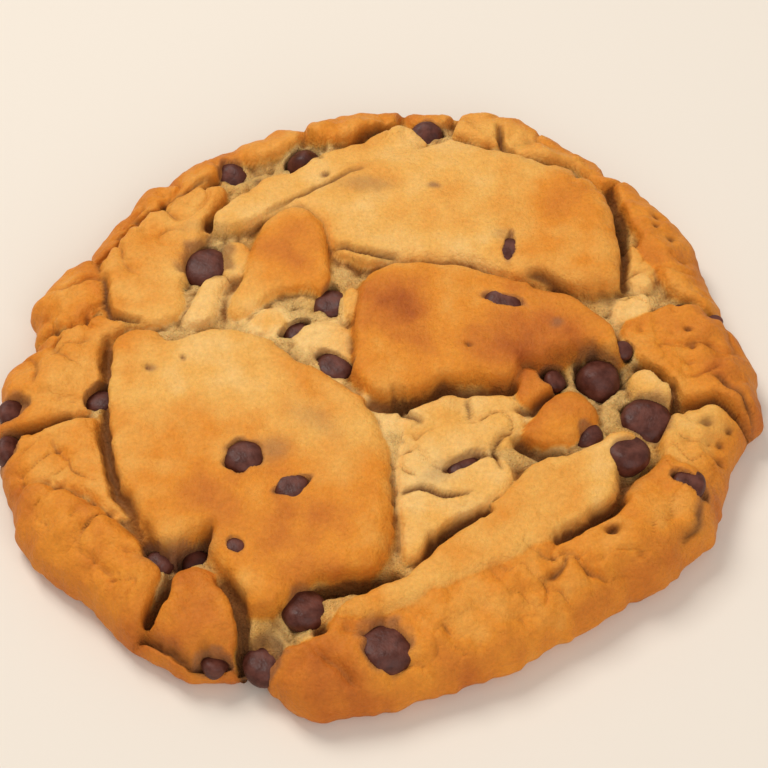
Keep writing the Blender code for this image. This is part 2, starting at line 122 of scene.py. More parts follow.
PLATES = [
    Plate("crown", 13.9, (0.0, -0.07), 3.6, 0.32, [
        (-22, 26), (-10, 35.5), (5, 43), (14, 44), (26, 39.5), (35.5, 33),
        (36.5, 23), (36, 13), (26, 14), (12, 17.5), (-6, 17.5), (-8, 23), (-10.5, 27), (-15, 29)]),
    Plate("brown_cap", 13.4, (0.10, 0.06), 1.8, 0.44, [
        (-23.5, 7.5), (-22, 12.5), (-20.5, 19), (-18.5, 25.5), (-15, 28.5), (-11, 27.5),
        (-8.5, 23.5), (-8, 17.5), (-9, 13), (-14, 13.5), (-18, 10.5)]),
    Plate("tongue", 12.6, (0.0, -0.08), 1.6, 0.30, [
        (-25.5, 26), (-24.5, 30), (-18, 35.5), (-10, 40), (-3, 44), (5, 46.5), (8, 42),
        (-9, 33.5), (-20, 26)]),
    Plate("dark_slab", 15.2, (0.02, -0.02), 1.7, 0.57, [
        (-3, 14.5), (-3.5, 6), (-3.5, -1), (-3, -5), (-1, -8), (4, -6.5), (9, -5), (14, -4),
        (17, -5.5), (20, -4), (21, -1), (26, 0), (30, 2.5), (34, 1), (34, 3), (32, 5.5),
        (29, 9), (25, 11.5), (21, 13.5), (10, 16), (3, 16.5)]),
    Plate("lower_slab", 13.5, (0.0, 0.04), 2.8, 0.48, [
        (-40.5, 1), (-40.5, -11), (-38.5, -21), (-35.5, -28.5), (-31.5, -33.5), (-29.5, -33.5),
        (-27.5, -30.5), (-25, -30), (-24.5, -33.5), (-20.5, -38.5), (-19, -41), (-16, -42),
        (-13.5, -40.5), (-12, -38), (-3, -36.5), (0.5, -35), (2, -26.5), (1, -20.5), (1, -14),
        (-4, -6.5), (-13, -0.5), (-20, 4.5), (-27, 4), (-31, 1.5), (-36, 5)]),
    Plate("upper_left", 11.6, (0.05, -0.05), 2.0, 0.42, [
        (-43, 20), (-41, 23.5), (-37, 28.5), (-32, 32.5), (-28, 35), (-25, 35.5),
        (-25, 33), (-26.5, 30), (-27, 24), (-30, 21), (-31, 15), (-29.5, 10), (-33, 7),
        (-37, 7.5), (-41, 9.5), (-42.5, 13)]),
    Plate("nib", 12.2, (0.0, 0.08), 1.4, 0.30, [
        (-29.5, 9.5), (-27.5, 14), (-25, 16), (-23.5, 15), (-24, 11.5), (-25.5, 8), (-28.5, 7)]),
    Plate("chip_lip", 12.0, (0.05, 0.0), 1.0, 0.24, [
        (-24.5, 16.5), (-24, 22), (-22, 22.5), (-20.5, 19), (-22, 16)]),
    Plate("yellow_lump", 12.0, (0.0, 0.05), 1.6, 0.34, [
        (-21, 7), (-18, 10), (-15, 9.5), (-13.5, 7), (-15, 4.5), (-18, 4.5)]),
    Plate("pale_dome", 12.2, (0.0, 0.10), 2.2, 0.16, [
        (-13, 4), (-10.5, 7.5), (-6.5, 7.5), (-4, 5), (-4, 0), (-6.5, -1.5), (-10, 0)]),
    Plate("curl", 12.8, (0.0, 0.05), 0.9, 0.20, [
        (-6, 8.5), (-6, 12.5), (-4.5, 13), (-3.5, 11), (-4, 8)]),
    Plate("pale_left", 11.8, (0.0, 0.0), 1.2, 0.14, [
        (-4, -6), (0, -8), (4, -10), (2, -13), (-0.5, -12)]),
    Plate("pale_block", 12.4, (0.0, 0.05), 1.4, 0.20, [
        (4.5, -8), (10, -6), (16, -6), (20, -7.5), (21, -11), (20.5, -14), (18, -15.5),
        (15, -15.5), (11, -18.5), (7.5, -19), (5, -16), (2.5, -12)]),
    Plate("pale_middle", 11.6, (0.03, 0.03), 1.2, 0.16, [
        (3, -13.5), (5, -17), (8, -20), (12, -19), (15.5, -17), (19, -18), (18.5, -21.5),
        (15, -25.5), (12, -28), (8, -30), (6, -33.5), (3.5, -33.5), (3, -25), (2.5, -19)]),
    Plate("strip", 11.8, (0.0, 0.05), 1.8, 0.30, [
        (-7, -42.5), (4, -37.5), (8, -33), (14, -28.5), (19, -21.5), (22, -18), (28, -17),
        (36, -13), (37, -15), (34, -19), (33.5, -24), (28, -29), (20, -34), (10, -39),
        (0, -43), (-4, -44)]),
    Plate("nugget", 13.4, (0.0, 0.08), 3.2, 0.64, [
        (25, -7.5), (28, -6), (31, -7.5), (32, -10), (29.5, -13), (27, -15), (23, -15),
        (20.5, -13), (22.5, -10)]),
    Plate("finger", 13.2, (-0.05, 0.05), 1.9, 0.56, [
        (20.5, -2), (24, -2.5), (25.5, -5), (24.5, -7.5), (22, -9.5), (20.5, -8)]),
    Plate("yellow_cap", 11.8, (0.0, 0.05), 1.2, 0.26, [
        (37.5, -3), (40, -2), (43, -4), (43, -6), (40, -5.5), (38, -5.5)]),
    Plate("chunk_upper", 10.4, (0.0, 0.0), 1.2, 0.14, [
        (37, 16.5), (36.8, 22), (38.5, 24), (41, 20.5), (42, 17), (40, 14.5)]),
    Plate("chunk_lower", 10.6, (0.0, 0.0), 1.2, 0.12, [
        (35, 8), (36, 13), (39.5, 13.5), (41.5, 11.5), (38.5, 8.5)]),
    Plate("wedge", 10.4, (0.0, 0.04), 2.4, 0.68, [
        (-29.5, -36), (-25, -35), (-22, -39), (-20.5, -42), (-20.5, -47), (-24, -47.5),
        (-27.5, -48), (-31, -46), (-32, -43), (-30.5, -39)]),
    Plate("west_top", 9.8, (0.05, 0.0), 2.0, 0.56, [
        (-62, 24), (-60, 9), (-51, 9.5), (-46, 9), (-43, 11.5), (-42.5, 17), (-44, 21),
        (-48, 26)]),
    Plate("west_upper", 10.2, (0.05, 0.0), 2.0, 0.47, [
        (-64, 7), (-51, 7.5), (-46, 8.5), (-42.5, 10.5), (-38, 8.5), (-41, 5), (-41.5, -4),
        (-43, -7.5), (-46, -8.5), (-50, -9.5), (-64, -9)]),
    Plate("west_middle", 10.2, (0.05, 0.0), 1.8, 0.45, [
        (-64, -10.5), (-50, -11), (-46, -9.5), (-42, -9), (-41, -14), (-39.5, -21),
        (-36.5, -27.5), (-38.5, -27), (-41.5, -24.5), (-45.5, -21.5), (-49, -19.5), (-64, -19)]),
    Plate("west_lower", 10.6, (0.03, 0.04), 2.4, 0.60, [
        (-64, -20), (-49, -20), (-45.5, -22.5), (-41.5, -25.5), (-37.5, -28.5), (-34.5, -32.5),
        (-32, -35.5), (-33, -39), (-33.5, -44), (-38, -46), (-42, -60), (-60, -44)]),
    Plate("south_west", 8.6, (0.0, 0.05), 1.6, 0.62, [
        (-40, -46.5), (-33.5, -45.5), (-31, -47), (-27, -49), (-22, -48.5), (-20.5, -48.5),
        (-20, -64), (-40, -64)]),
    Plate("south_rim", 10.6, (0.0, 0.06), 2.4, 0.52, [
        (-17, -66), (-17, -51.5), (-14, -47.5), (-10.5, -47), (-8, -44.5), (-5, -40.5),
        (7, -36), (20, -30), (26, -30.5), (30, -28.5), (33.5, -25.5), (36, -22), (39, -19.5),
        (41, -16), (44, -18), (50, -21), (66, -22), (60, -60), (0, -70)]),
    Plate("east_lower", 10.2, (-0.03, 0.0), 1.8, 0.34, [
        (41, -12), (43, -8.5), (46, -7.5), (50, -6), (53, -9), (64, -12), (64, -23),
        (50, -23), (44, -20), (40, -16)]),
    Plate("east_upper", 10.8, (-0.04, 0.0), 2.0, 0.58, [
        (36, 3), (36.5, 7.5), (40, 10), (45, 11.5), (50, 10.5), (62, 11), (66, -9), (56, -9),
        (53, -6.5), (50, -5), (46, -6), (44, -4.5), (42, -1.5), (38.5, 1)]),
    Plate("north_east", 10.6, (-0.05, 0.0), 2.0, 0.42, [
        (36.5, 38), (46, 42), (64, 20), (58, 11.5), (51.5, 12), (48, 13.5), (44.5, 16),
        (42, 18.5), (40, 22), (41, 25), (39, 28), (38, 33)]),
    Plate("back_right", 10.8, (0.0, -0.05), 1.8, 0.38, [
        (19.5, 44), (20.5, 46), (26, 58), (42, 48), (36.5, 36.5), (34.5, 37.5), (31, 40.5),
        (25, 41), (21.5, 42)]),
    Plate("knob", 10.8, (0.0, -0.04), 1.8, 0.44, [
        (12, 47), (13.5, 51), (14, 62), (24, 62), (24.5, 48), (20, 45.5), (19, 44),
        (15, 45), (12, 46)]),
    Plate("back_left", 10.4, (0.0, -0.06), 1.6, 0.52, [
        (-13, 48), (-12, 62), (2.5, 62), (2.5, 50.5), (-1, 49), (-4, 47), (-7, 45.5),
        (-10, 45)]),
    Plate("back_top", 9.4, (0.0, -0.05), 1.4, 0.40, [(4, 50.5), (12, 50.5), (11, 62), (4, 62)]),
    Plate("back_band", 9.6, (0.03, -0.03), 1.6, 0.46, [
        (-52, 27), (-45, 22.5), (-40.5, 26), (-37.5, 29.5), (-34, 31.5), (-29.5, 33.5),
        (-27, 38), (-24, 43), (-20, 42.5), (-15, 44.5), (-13, 47), (-14, 62), (-52, 52)]),
]

# Narrow cracks: half width, depth and the line that they follow.
CRACKS = [
    (0.5, 2.4, [(-42.5, 17), (-42, 12), (-41, 10), (-36.5, 8)]),
    (0.6, 1.8, [(-56, -9.5), (-50, -10.3), (-46, -9)]),
    (0.5, 2.2, [(-27, 26.5), (-26.3, 28.5), (-24.3, 31)]),
    (0.35, 1.0, [(-43.5, 21.5), (-38.5, 28.5), (-32, 34), (-26, 38.5)]),
    (0.6, 2.2, [(36.5, 36), (37, 33), (37.5, 28), (37.5, 23), (36.8, 15)]),
    (0.7, 3.0, [(38, 0), (41, -1.5), (43.5, -4), (44.5, -7.5)]),
    (0.6, 2.4, [(45.5, -6.3), (50, -5.3), (53, -7.5), (57, -10)]),
    (0.5, 1.4, [(50, -2), (54, -4.5), (56.5, -8.5)]),
    (0.7, 2.8, [(25, -31), (28.5, -28.5), (32, -26), (35, -23.5)]),
    (0.9, 4.0, [(-9.5, -39.5), (-4, -37.8), (3.5, -36.5)]),
    (0.7, 2.2, [(6.8, -33.5), (8, -31), (11, -29), (15.5, -26.5)]),
    (0.7, 3.0, [(-30, -35.5), (-31, -39), (-33, -42.5)]),
    (0.9, 3.5, [(-23, -37), (-19.8, -41), (-19, -46), (-19.5, -52), (-19.5, -58)]),
    (0.7, 3.2, [(-41, 5), (-41, -6), (-40.2, -15), (-38.2, -22), (-35.5, -28)]),
    (0.5, 1.8, [(19, 48), (19.5, 45.5), (21.5, 42)]),
    (0.8, 2.5, [(-2, -9), (4.5, -8), (9.5, -6), (16, -6.8), (20, -5.5)]),
    (0.45, 1.2, [(1.5, -7), (3, -9.5), (6, -11.5)]),
    (0.5, 1.4, [(3, -23.5), (6, -22.5), (9, -24), (12.5, -23.5)]),
    (0.4, 0.9, [(13, -8), (13.5, -11.5)]),
    (0.4, 1.0, [(19, -13), (16.5, -16), (17.5, -19)]),
    (0.5, 1.6, [(20, -10), (22.5, -9.3), (25, -7), (26.5, -4.5)]),
    (0.7, 1.8, [(20, -13.5), (23, -15.8), (27.5, -16.3)]),
    (0.6, 2.4, [(-33.5, -44.5), (-30, -46.8), (-26, -48.2), (-20.5, -48.6)]),
    (1.1, 3.0, [(-34.2, -29), (-32.5, -32.6), (-29.5, -33.8), (-26, -32.6), (-24.4, -30)]),
    (0.5, 1.6, [(-7, 20.5), (-2, 19.5), (2, 18)]),
    (0.5, 1.5, [(22, 15.5), (26, 14.2), (30, 11.5)]),
    (0.6, 1.2, [(46.5, -23), (46, -27), (44, -30)]),
    (0.5, 1.0, [(26.5, -33.5), (25.5, -36.5), (23.5, -38)]),
    (0.6, 1.2, [(-5, 45.3), (-3.5, 47), (0, 49), (3, 49.8)]),
    (0.5, 1.0, [(-18, 28), (-13, 31.5), (-8, 34.5), (-3, 37)]),
]

# Patches where the crust is broken up into crumbs: place, radius and roughness.
CRUMBLY = [
    (41, 6, 5.5, 1.0), (42, 0.5, 4.5, 0.8), (46, -12, 5, 0.9), (51, -17, 4, 0.7),
    (43, 29, 4, 0.9), (44, 22, 4, 0.7), (-40, 28, 5, 0.8), (-32, 34, 4, 0.7), (-27, 41, 5, 0.8),
    (-49, 8, 4, 0.7), (-53, -9, 4, 0.7), (-44, -15, 4, 0.6), (36, -33, 5, 0.6), (8, -42, 5, 0.5),
    (13, -12, 6, 0.5), (10, -26, 5, 0.5), (-7, 46, 4, 0.8), (50, 14, 4, 0.7),
]

# Small holes in the crust: place, half width and depth.
PITS = [
    (43, 30, 0.5, 1.0), (43.5, 27.5, 0.5, 1.0), (45.5, 25, 0.5, 0.8), (46, 6.5, 0.5, 1.0),
    (46.5, 3.5, 0.7, 1.2), (48, -9.5, 0.9, 1.4), (51, -10, 0.7, 1.2), (50, -12.5, 0.5, 1.0),
    (50, -15, 0.5, 1.0), (33, -29, 0.9, 2.0), (38.5, -36.5, 0.8, 1.2), (-24.5, -47, 0.8, 1.6),
    (-8.5, -45, 1.0, 2.4), (13.5, 0.5, 0.5, 0.8), (-35, -3, 0.5, 0.8), (-29, -1.5, 0.4, 0.6),
    (-8.5, 36.5, 0.5, 0.8), (-9, 40, 0.5, 0.8), (-34, 32.5, 0.5, 1.0), (-38, 30, 0.6, 1.0),
    (-41, 26.5, 0.5, 1.0), (-36, 31, 0.4, 0.8), (-49.5, 6.5, 0.6, 0.9),
]

CHIPS = [
    Chip(-27.0, 19.8, 8.4, 0.8, 180, 0, (3.8, 4.0, 0, 1.1)),
    Chip(-24.0, 40.3, 6.2, 1.2, 150, 60, (2.2, 2.2, 0, 1.2)),
    Chip(-12.3, 42.4, 6.2, 2.0, 20, 250, (2.6, 2.6, 0, 1.6)),
    Chip(7.4, 48.8, 6.0, 1.2, 150, 90, (2.9, 2.4, 0, 1.8)),
    Chip(19.6, 19.8, 5.6, -0.2, 180, 0, (3.0, 0.9, 82, 1.0)),
    Chip(18.4, 9.2, 7.0, -0.1, 180, 0, (3.3, 1.0, 160, 0.9)),
    Chip(-7.6, 11.0, 6.0, -0.3, 175, 0, (3.4, 1.3, 85, 2.6)),
    Chip(-12.8, 6.6, 4.8, -0.9, 180, 0, (2.8, 1.0, 40, 3.2)),
    Chip(-7.0, -0.4, 6.6, -0.1, 175, 320, (3.3, 1.4, 145, 1.8)),
    Chip(-19.8, -18.5, 6.6, 0.2, 180, 0, (3.0, 2.4, 10, 1.4)),
    Chip(-12.8, -23.4, 5.8, 0.1, 180, 0, (2.6, 1.2, 22, 1.4)),
    Chip(-20.6, -33.4, 3.6, -0.1, 180, 0, (1.4, 1.0, 140, 1.2)),
    Chip(-31.8, -33.2, 4.8, -1.6, 180, 320, (2.6, 1.2, 140, 1.0)),
    Chip(-26.4, -32.4, 4.8, -1.3, 170, 90, (2.6, 1.3, 15, 1.0)),
    Chip(-55.2, -6.0, 5.4, 0.4, 150, 180, (2.5, 2.3, 0, 1.4)),
    Chip(-55.2, -12.3, 5.6, 0.6, 140, 180, (2.0, 2.8, 0, 1.4)),
    Chip(-42.0, -4.8, 5.0, -1.3, 180, 60, (2.4, 1.6, 60, 3.0)),
    Chip(-10.8, -41.6, 7.4, 1.2, 170, 250, (2.6, 2.2, 40, 1.0)),
    Chip(-16.3, -48.0, 7.0, 0.1, 180, 0, (2.8, 3.0, 0, 0.6)),
    Chip(0.6, -47.6, 8.8, 0.6, 170, 280, (3.3, 3.6, 20, 1.1)),
    Chip(32.2, -2.2, 8.0, 1.8, 40, 200, (3.6, 3.6, 0, 2.0)),
    Chip(25.7, -3.2, 4.0, 1.6, 150, 180, (2.2, 2.0, 0, 2.2)),
    Chip(39.3, -8.8, 8.6, 1.6, 170, 90, (3.6, 3.4, 0, 1.2)),
    Chip(35.9, -16.5, 7.4, 1.9, 165, 240, (2.0, 2.0, 20, 0.6)),
    Chip(30.2, -12.4, 5.6, 0.9, 170, 20, (1.4, 1.0, 10, 0.4)),
    Chip(44.6, -21.2, 5.8, -0.5, 180, 330, (2.9, 1.3, 150, 2.0)),
    Chip(46.0, 12.2, 4.4, -0.2, 180, 0, (2.2, 1.0, 0, 1.8)),
    Chip(51.0, 10.4, 2.8, -0.1, 180, 0, (1.3, 1.0, 0, 1.2)),
    Chip(12.0, -18.2, 6.4, -0.2, 180, 30, (3.2, 0.9, 32, 1.0)),
    Chip(-23.4, -48.2, 4.4, -0.4, 150, 245, (2.4, 1.0, 0, 1.0)),
    Chip(36.3, 2.7, 3.4, 0.2, 160, 120, (1.4, 1.4, 0, 1.6)),
]

# Patches that baked darker (positive) or stayed paler (negative): place, radius, amount.
TINTS = [
    (3, 8, 6, 0.34), (22, 3, 8, 0.26), (30, 27, 13, 0.28), (6, 30, 16, -0.10), (-13, 21, 6, 0.22),
    (12, 4, 6, -0.10), (40, 5, 4, -0.18), (-19, 12, 5, -0.14),
    (-24, 0, 12, -0.30), (-36, -12, 6, -0.10), (-37, 2, 4, 0.16), (-9, -32, 12, 0.20),
    (-24, -22, 10, 0.10), (-10, -12, 8, -0.15), (-8, -52, 10, 0.12),
]

# Chocolate just under the crust, showing through: place, half length and width, turn, strength.
SMEARS = [
    (-2.5, 33.2, 5.0, 1.5, 0, 0.65), (-15.8, -17.6, 2.6, 2.0, 20, 0.80), (8, 32.6, 1.0, 0.8, 0, 1.2),
    (26, 3.6, 0.9, 0.8, 0, 1.0), (-34.5, -3.4, 0.9, 0.7, 0, 1.0), (19, 22.6, 1.6, 1.5, 0, 0.5),
    (8.6, -19.8, 3.2, 1.5, 30, 0.65), (-9.5, -12.5, 4.5, 2.0, 140, 0.45),
    (-28.5, 26.5, 2.4, 1.2, 0, 0.35), (-9, 36.3, 0.6, 0.6, 0, 1.0), (-19.5, 37.5, 1.1, 0.8, 0, 1.1),
    (-6.5, 43.8, 1.0, 0.7, 0, 1.0), (36.2, -20.4, 2.4, 2.4, 20, 0.5), (46.4, -24, 0.9, 3.0, 10, 0.5),
    (-29, -1.8, 0.5, 0.5, 0, 0.8), (-29.4, -33.6, 5.2, 1.4, 5, 1.3),
]


def smooth_step(low, high, value):
    """0 below low, 1 above high, and a smooth rise between them."""
    t = np.clip((value - low) / (high - low), 0, 1)
    return t * t * (3 - 2 * t)


def bell(distance, half_width):
    """1 at no distance, 0.37 at the half width, and almost 0 at twice that."""
    return np.exp(-((distance / half_width) ** 2))


def patches(x, y, rows):
    """The sum of round patches, each given by its place, radius and strength."""
    return sum(
        strength * bell(np.hypot(x - middle_x, y - middle_y), radius)
        for middle_x, middle_y, radius, strength in rows
    )


def lattice_noise(x, y, size, seed):
    """Smooth noise from -1 to 1 whose features are about size mm wide."""
    table = np.random.default_rng(SEED + seed).uniform(-1, 1, (64, 64))
    u = (0.8 * x + 0.6 * y) / size + 32
    v = (0.8 * y - 0.6 * x) / size + 32
    column = np.floor(u).astype(int)
    row = np.floor(v).astype(int)
    s = u - column
    t = v - row
    s = s * s * (3 - 2 * s)
    t = t * t * (3 - 2 * t)

    def value(i, j):
        return table[(row + j) % 64, (column + i) % 64]

    low = value(0, 0) * (1 - s) + value(1, 0) * s
    high = value(0, 1) * (1 - s) + value(1, 1) * s
    return low * (1 - t) + high * t


def layered_noise(x, y, layers):
    """The sum of several layers of smooth noise."""
    return sum(reach * lattice_noise(x, y, size, seed) for reach, size, seed in layers)


def lumps(x, y, size, seed):
    """Rounded crumbs about size mm wide, from 0 between them to 1 on top."""
    table = np.random.default_rng(SEED + seed).uniform(0.1, 0.9, (64, 64, 2))
    u = x / size + 32
    v = y / size + 32
    column = np.floor(u).astype(int)
    row = np.floor(v).astype(int)
    nearest = np.full(np.shape(x), 9.0)
    for i in (-1, 0, 1):
        for j in (-1, 0, 1):
            spot = table[(row + j) % 64, (column + i) % 64]
            gap = np.hypot(column + i + spot[..., 0] - u, row + j + spot[..., 1] - v)
            nearest = np.minimum(nearest, gap)
    return np.sqrt(np.clip(1 - (nearest / 0.85) ** 2, 0, 1))


def furrows(x, y, size, seed):
    """Narrow lines wandering about size mm apart: 1 along them and 0 between."""
    line = bell(lattice_noise(x, y, size, seed), FURROW_WIDTH)
    return line * smooth_step(-0.1, 0.5, lattice_noise(x, y, 2.3 * size, seed + 1))


def rim_radius(angle):
    """The rim's radius at an angle: a smooth curve through RIM_RADII, less its dents."""
    radii = np.array(RIM_RADII)
    dent = np.zeros(np.shape(angle))
    for bearing, half_width, depth in RIM_DENTS:
        away = np.remainder(angle - math.radians(bearing) + math.pi, 2 * math.pi) - math.pi
        dent = dent + depth * bell(away * radii.mean(), half_width)
    count = len(radii)
    place = (np.asarray(angle) / (2 * math.pi) * count) % count
    index = np.floor(place).astype(int)
    t = place - index
    before, here, after, beyond = (radii[(index + k) % count] for k in (-1, 0, 1, 2))
    bend = 2 * before - 5 * here + 4 * after - beyond
    twist = -before + 3 * here - 3 * after + beyond
    return here + 0.5 * t * ((after - before) + t * (bend + t * twist)) - dent


def rounded_corners(corners, rounds=2):
    """The closed outline with its corners cut off, rounds times over."""
    points = np.array(corners, float)
    for _ in range(rounds):
        following = np.roll(points, -1, axis=0)
        near = 0.75 * points + 0.25 * following
        far = 0.25 * points + 0.75 * following
        points = np.stack([near, far], axis=1).reshape(-1, 2)
    return points


def distance_to_line(x, y, points):
    """Distance to an open line, and how far along it the nearest place is, from 0 to 1."""
    nearest = np.full(x.shape, np.inf)
    place = np.zeros(x.shape)
    count = len(points) - 1
    for i, ((ax, ay), (bx, by)) in enumerate(zip(points, points[1:])):
        ex, ey = bx - ax, by - ay
        along = np.clip(((x - ax) * ex + (y - ay) * ey) / (ex * ex + ey * ey), 0, 1)
        gap = np.hypot(x - ax - along * ex, y - ay - along * ey)
        place = np.where(gap < nearest, (i + along) / count, place)
        nearest = np.minimum(nearest, gap)
    return nearest, place


def depth_inside(x, y, outline):
    """Distance from the outline, positive inside it."""
    nearest = np.full(x.shape, np.inf)
    inside = np.zeros(x.shape, bool)
    for (ax, ay), (bx, by) in zip(outline, np.roll(outline, -1, axis=0)):
        ex, ey = bx - ax, by - ay
        along = np.clip(((x - ax) * ex + (y - ay) * ey) / (ex * ex + ey * ey), 0, 1)
        gap = np.hypot(x - ax - along * ex, y - ay - along * ey)
        nearest = np.minimum(nearest, gap)
        if ay != by:
            crosses = (ay > y) != (by > y)
            inside ^= crosses & (x < ax + (y - ay) * ex / ey)
    return np.where(inside, nearest, -nearest)


def smooth_max(a, b, blend=0.5):
    """The larger of two heights, with the seam rounded over blend mm."""
    return 0.5 * (a + b + np.sqrt((a - b) ** 2 + blend * blend))


def plate_height(plate, x, y):
    """The top of one plate, falling off round its outline, and the depth inside it."""
    outline = rounded_corners(plate.corners)
    centre = outline.mean(axis=0)
    low, high = outline.min(axis=0) - PLATE_REACH, outline.max(axis=0) + PLATE_REACH
    near = (x > low[0]) & (x < high[0]) & (y > low[1]) & (y < high[1])
    depth = np.full(x.shape, -PLATE_REACH)
    depth[near] = depth_inside(x[near], y[near], outline) + GROW
    level = plate.height + plate.slope[0] * (x - centre[0]) + plate.slope[1] * (y - centre[1])
    inner = np.clip(1 - depth / plate.edge, 0, 1)
    drop = plate.edge * (1 - np.sqrt(1 - inner * inner))
    outer = np.clip(-depth, 0, None) * EDGE_STEEPNESS
    return level - drop - outer, depth


def wobbled(x, y):
    """The points shifted by noise, so that no edge of a plate runs straight."""
    for reach, size, seed in WOBBLE:
        x, y = (
            x + reach * lattice_noise(x, y, size, seed),
            y + reach * lattice_noise(x, y, size, seed + 1),
        )
    return x, y


def oval_place(x, y, half_length, half_width, turn):
    """How far a point is from the middle of an oval, 1 on its edge."""
    turn = math.radians(turn)
    along = x * math.cos(turn) + y * math.sin(turn)
    across = y * math.cos(turn) - x * math.sin(turn)
    return np.hypot(along / half_length, across / half_width)


def crumb_floor(x, y, rim):
    """The lumpy crumb between the plates, higher at the centre than at the rim."""
    across = np.clip(np.hypot(x, y) / rim, 0, 1)
    height = FLOOR_CENTRE + (FLOOR_RIM - FLOOR_CENTRE) * across**2
    height = height + 0.9 * lattice_noise(x, y, 4, 3)
    return height + 1.6 * lumps(x, y, 3.4, 4) + lumps(x, y, 1.7, 5) - 1.3


def lay_plates(x, y, height):
    """The plates laid over the crumb floor: height, browning and depth inside a plate."""
    brown = np.full(x.shape, CRUMB_BROWNING)
    inside = np.full(x.shape, -PLATE_REACH)
    for plate in PLATES:
        level, depth = plate_height(plate, x, y)
        share = smooth_step(-0.5, 0.9, level - height)
        brown = brown * (1 - share) + plate.brown * share
        height = smooth_max(height, level)
        inside = np.maximum(inside, depth)
    return height, brown, inside


def relief(x, y, shifted, inside, brown, ragged):
    """The crust's own unevenness: swellings, a ragged rim, furrows and patches of crumbs."""
    on_plate = smooth_step(-0.5, 1.5, inside)
    height = layered_noise(x, y, SWELLING) * (0.4 + 0.6 * on_plate)
    height += ragged * layered_noise(x, y, RAGGEDNESS)
    for depth, further_in, size, seed in FURROWS:
        strength = further_in + (1 - further_in) * ragged
        height -= strength * depth * furrows(*shifted, size, seed)
    pale = on_plate * (1 - smooth_step(0.15, 0.32, brown))
    height -= pale * PALE_FURROW_DEPTH * furrows(*shifted, 3.4, 45)
    crumbs = 0.8 * lumps(*shifted, 1.9, 61) + 0.5 * lumps(*shifted, 1.1, 62) - 0.8
    return height + patches(x, y, CRUMBLY) * crumbs


def crust(x, y):
    """The dough's top before cracks and openings: height, browning and depth inside a plate."""
    rim = rim_radius(np.arctan2(y, x))
    inward = rim - np.hypot(x, y)
    shifted = wobbled(x, y)
    height, brown, inside = lay_plates(*shifted, crumb_floor(x, y, rim))
    ragged = 1 - smooth_step(*RAGGED_BAND, inward)
    height = height + relief(x, y, shifted, inside, brown, ragged)
    inset = np.clip(inward / SHOULDER, 0, 1)
    shoulder = np.sqrt(1 - (1 - inset) ** 2)
    height = BULGE_HEIGHT + (height - BULGE_HEIGHT) * shoulder
    brown = brown + 0.8 * (RIM_BROWNING - brown) * (1 - smooth_step(0.0, 0.8, inset))
    return height, brown, inside


def cracks_and_pits(x, y):
    """How deep the cracks and pits cut at each point, and how much shade is painted into them."""
    cut = np.zeros(x.shape)
    dark = np.zeros(x.shape)
    for half_width, depth, points in CRACKS:
        gap, place = distance_to_line(x, y, points)
        taper = 0.3 + 0.7 * np.sqrt(np.clip(4 * place * (1 - place), 0, 1))
        line = taper * bell(gap, half_width)
        cut = cut + depth * line
        # Painted shade along the crack, darker where it cuts deeper.
        dark = np.maximum(dark, min(1, CRACK_SHADE * depth) * line)
    for pit_x, pit_y, half_width, depth in PITS:
        hole = bell(np.hypot(x - pit_x, y - pit_y), half_width)
        cut = cut + depth * hole
        dark = np.maximum(dark, PIT_SHADE * hole)
    return cut, dark


def chip_openings(x, y):
    """How deep the openings over the chips cut at each point, and the stain round each chip."""
    cut = np.zeros(x.shape)
    stain = np.zeros(x.shape)
    ragged = 0.22 * lattice_noise(x, y, 1.3, 51)
    for chip in CHIPS:
        half_length, half_width, turn, depth = chip.window
        place = oval_place(x - chip.x, y - chip.y, half_length, half_width, turn) + ragged
        cut = cut + depth * (1 - smooth_step(0.80, 1.10, place))
        stain = np.maximum(stain, 1 - smooth_step(0.95, 1.3, place))
    return cut, stain


def smears(x, y):
    """How strongly chocolate shows through the crust at each point."""
    stain = np.zeros(x.shape)
    for smear_x, smear_y, half_length, half_width, turn, strength in SMEARS:
        place = oval_place(x - smear_x, y - smear_y, half_length, half_width, turn)
        stain = np.maximum(stain, strength * np.exp(-(place**3)))
    return stain


def disc_grid(cells):
    """Points of a square grid bent onto the unit disc: radius and angle arrays."""
    steps = np.linspace(-1, 1, cells + 1)
    a, b = np.meshgrid(steps, steps)
    wide = np.abs(a) > np.abs(b)
    safe_a = np.where(a == 0, 1, a)
    safe_b = np.where(b == 0, 1, b)
    radius = np.where(wide, a, b)
    angle = np.where(wide, math.pi / 4 * b / safe_a, math.pi / 2 - math.pi / 4 * a / safe_b)
    return radius, angle


def border_indices(cells):
    """The grid's border points in order, anticlockwise."""
    side = cells + 1
    bottom = list(range(cells))
    right = [i * side + cells for i in range(cells)]
    top = [cells * side + i for i in range(cells, 0, -1)]
    left = [i * side for i in range(cells, 0, -1)]
    return np.array(bottom + right + top + left)


def blurred(field, reach):
    """The field averaged over a square window of the grid, reach cells each way."""
    window = np.ones(2 * reach + 1) / (2 * reach + 1)
    for axis in (0, 1):
        padded = np.pad(field, [(reach, reach) if k == axis else (0, 0) for k in (0, 1)], "edge")
        field = np.apply_along_axis(np.convolve, axis, padded, window, "valid")
    return field


def undercut(x, y, z, rise):
    """Leans steep flanks outwards, so that plates overhang the cracks beside them."""
    zi, zj = np.gradient(z)
    xi, xj = np.gradient(x)
    yi, yj = np.gradient(y)
    area = xi * yj - xj * yi
    area = np.where(np.abs(area) < 1e-4, 1e-4, area)
    slope_x = (zi * yj - zj * yi) / area
    slope_y = (zj * xi - zi * xj) / area
    steep = np.hypot(slope_x, slope_y) + 1e-6
    lean = UNDERCUT * rise * smooth_step(0.5, 1.8, steep) / steep
    return x - blurred(lean * slope_x, 1), y - blurred(lean * slope_y, 1)


